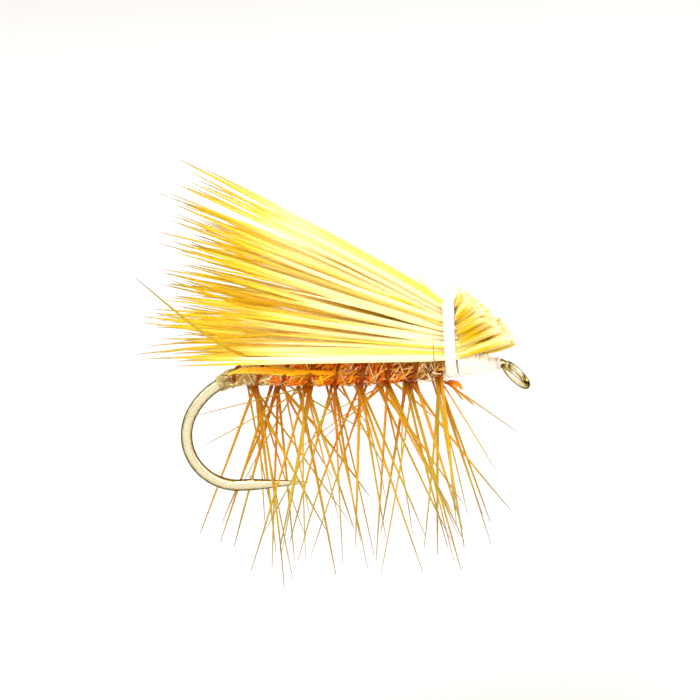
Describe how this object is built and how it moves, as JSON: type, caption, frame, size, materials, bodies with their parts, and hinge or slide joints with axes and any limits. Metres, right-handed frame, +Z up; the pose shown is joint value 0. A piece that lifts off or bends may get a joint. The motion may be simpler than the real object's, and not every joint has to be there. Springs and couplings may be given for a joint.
{
  "type": "dry fly",
  "caption": "Dry fly with a down-eye hook, a dubbed body, a palmered ginger hackle and a pale hair wing with trimmed butts over the eye.",
  "frame": {"origin": "middle of the hook's eye, where the leader holds the fly", "axes": "+X forward, from the bend to the eye; +Z up, from the hackle tips to the wing; +Y to the fly's left; the hook's bend lies in the XZ plane"},
  "size_m": [0.0173, 0.0132, 0.0189],
  "materials": {
    "hook_steel": "polished",
    "white_thread": "satin",
    "dubbing_fur": "matte",
    "rib_wire": "polished",
    "ginger_hackle": "satin",
    "elk_hair": "satin",
    "head_varnish": "gloss"
  },
  "bodies": {
    "root": {"dubbed_body": "dubbing_fur", "hackle_stem_butt": "ginger_hackle", "hackle_turn_1": "ginger_hackle", "hackle_turn_2": "ginger_hackle", "hackle_turn_3": "ginger_hackle", "hackle_turn_4": "ginger_hackle", "hackle_turn_5": "ginger_hackle", "hackle_turn_6": "ginger_hackle", "hackle_turn_7": "ginger_hackle", "hackle_turn_8": "ginger_hackle", "head_cement": "head_varnish", "head_thread_wraps": "white_thread", "hook": "hook_steel", "rear_thread_wraps": "white_thread", "rib_wire": "rib_wire", "thread_underwrap": "white_thread", "wing_lock_01": "elk_hair", "wing_lock_02": "elk_hair", "wing_lock_03": "elk_hair", "wing_lock_04": "elk_hair", "wing_lock_05": "elk_hair", "wing_lock_06": "elk_hair", "wing_lock_07": "elk_hair", "wing_lock_08": "elk_hair", "wing_lock_09": "elk_hair", "wing_lock_10": "elk_hair", "wing_lock_11": "elk_hair", "wing_lock_12": "elk_hair", "wing_thread_band": "white_thread"}
  },
  "joints": []
}
